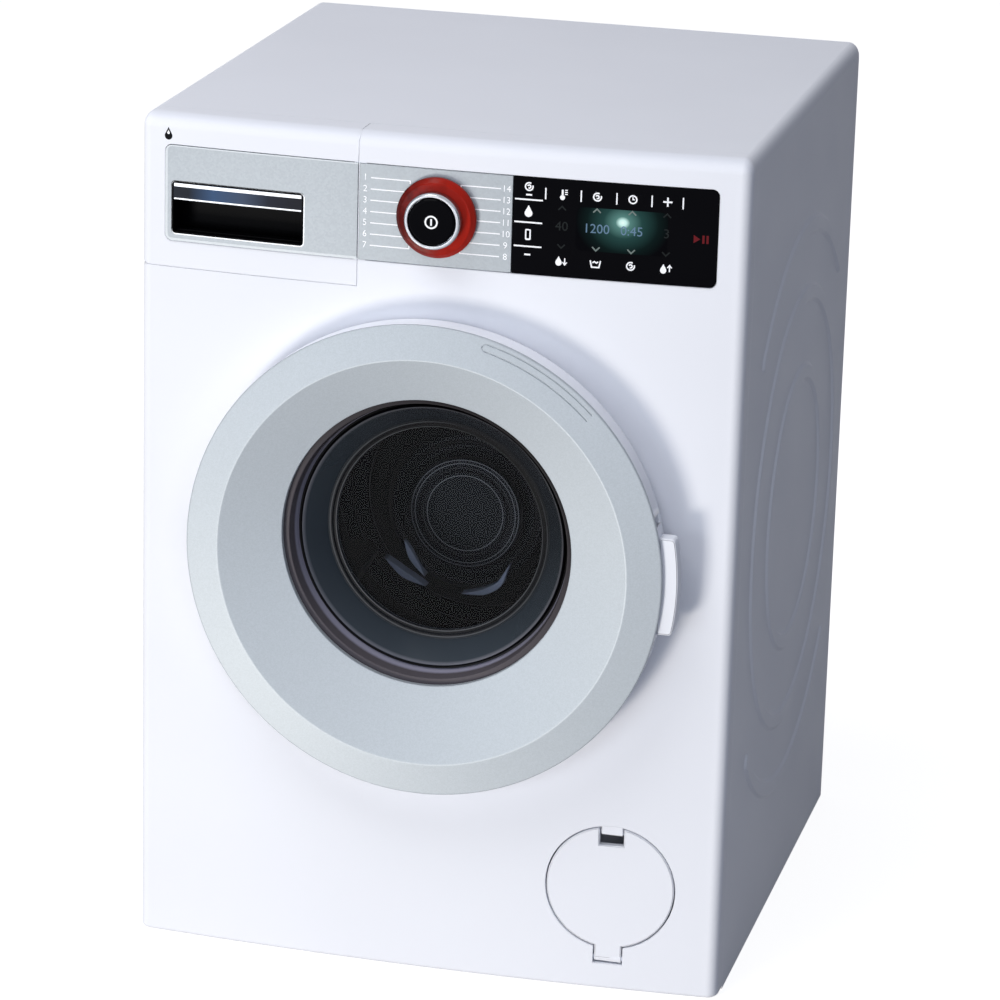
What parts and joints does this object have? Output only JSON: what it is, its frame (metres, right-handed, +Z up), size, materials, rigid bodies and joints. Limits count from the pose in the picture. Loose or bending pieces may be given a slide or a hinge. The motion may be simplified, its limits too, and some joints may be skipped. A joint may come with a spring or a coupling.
{
  "type": "toy washing machine",
  "caption": "Toy front-loading washing machine with a hinged round door, sliding soap drawer, turning knob, power button, service flap and driven drum.",
  "frame": {"origin": "on the ground under the middle of the machine's bounding box", "axes": "+Z up, +Y to the back, +X to the viewer's right when looking at the door"},
  "size_m": [0.1868, 0.196, 0.262],
  "materials": {
    "white_plastic": "semi-gloss",
    "silver_paint": "silver satin paint",
    "silver_foil": "printed silver foil",
    "black_gloss": "high gloss",
    "black_plastic": "fine matt",
    "dark_clear": "dark clear",
    "dark_blue": "gloss with a bright edge",
    "red_clear": "clear gloss",
    "drum_grey": "satin",
    "seal_rubber": "satin",
    "tub_grey": "matt",
    "gear_plastic": "natural",
    "circuit_board": "solder mask",
    "hose": "milky",
    "steel": "plated",
    "brass": "plain"
  },
  "bodies": {
    "cabinet": {"front_panel": "white_plastic", "cabinet_shell": "white_plastic", "rear_cover": "white_plastic", "base_plate": "white_plastic", "rear_screw_lower_left": "steel", "rear_screw_lower_right": "steel", "rear_screw_upper_left": "steel", "rear_screw_upper_right": "steel", "battery_box": "black_plastic", "battery_door": "white_plastic", "battery_door_screw": "steel", "battery_contact_left": "brass", "battery_contact_right": "brass", "hinge_bracket": "steel", "hinge_pin": "steel", "latch_catch": "white_plastic", "door_seal": "seal_rubber", "flap_pocket": "white_plastic", "programme_plate": "silver_foil", "display_panel": "black_gloss", "circuit_board": "circuit_board", "dial_switch": "black_plastic", "drawer_housing": "white_plastic", "water_duct": "hose", "tub": "tub_grey", "drain_hose": "hose", "drain_outlet": "black_plastic", "drum_bush": "brass", "gear_cover": "black_plastic", "idler_pin": "steel", "drive_motor": "steel"},
    "door": {"door_ring": "silver_paint", "door_rim": "white_plastic", "door_window": "dark_clear", "latch_hook": "white_plastic"},
    "drawer": {"drawer_front": "white_plastic", "drawer_plate": "silver_foil", "grip_cup": "black_plastic", "grip_bar": "dark_blue", "drawer_tray": "white_plastic"},
    "knob": {"dial_ring": "red_clear", "dial_bezel": "silver_paint"},
    "power_button": {"power_button": "black_gloss"},
    "drum": {"drum_shell": "drum_grey", "drum_back": "drum_grey", "drum_vane_1": "drum_grey", "drum_vane_2": "drum_grey", "drum_vane_3": "drum_grey", "drum_shaft": "steel", "drum_gear": "gear_plastic"},
    "idler": {"idler_gear": "gear_plastic"},
    "motor_shaft": {"motor_pinion": "steel"},
    "service_flap": {"service_flap": "white_plastic"}
  },
  "joints": [
    {"name": "door_swing", "type": "hinge", "parent": "cabinet", "child": "door", "pos_m": [-0.0685, -0.0905, 0.1347], "axis": [0, 0, -1], "range_deg": [0, 100]},
    {"name": "drawer_slide", "type": "slide", "parent": "cabinet", "child": "drawer", "axis": [0, -1, 0], "range_m": [0, 0.045]},
    {"name": "knob_turn", "type": "hinge", "parent": "cabinet", "child": "knob", "pos_m": [0, -0.09, 0.2385], "axis": [0, 1, 0], "continuous": true},
    {"name": "button_press", "type": "slide", "parent": "cabinet", "child": "power_button", "axis": [0, 1, 0], "range_m": [0, 0.0015], "stiffness_N_per_m": 400},
    {"name": "drum_spin", "type": "hinge", "parent": "cabinet", "child": "drum", "pos_m": [0, 0, 0.1347], "axis": [0, 1, 0], "continuous": true},
    {"name": "idler_spin", "type": "hinge", "parent": "cabinet", "child": "idler", "pos_m": [-0.02652, 0, 0.10818], "axis": [0, 1, 0], "continuous": true},
    {"name": "motor_spin", "type": "hinge", "parent": "cabinet", "child": "motor_shaft", "pos_m": [-0.01167, 0, 0.09333], "axis": [0, 1, 0], "continuous": true},
    {"name": "flap_swing", "type": "hinge", "parent": "cabinet", "child": "service_flap", "pos_m": [0.0586, -0.08299, 0.0102], "axis": [1, 0, 0], "range_deg": [0, 90]}
  ],
  "couplings": [
    {"joint": "idler_spin", "follows": "drum_spin", "ratio": -4},
    {"joint": "motor_spin", "follows": "drum_spin", "ratio": 12.8}
  ]
}
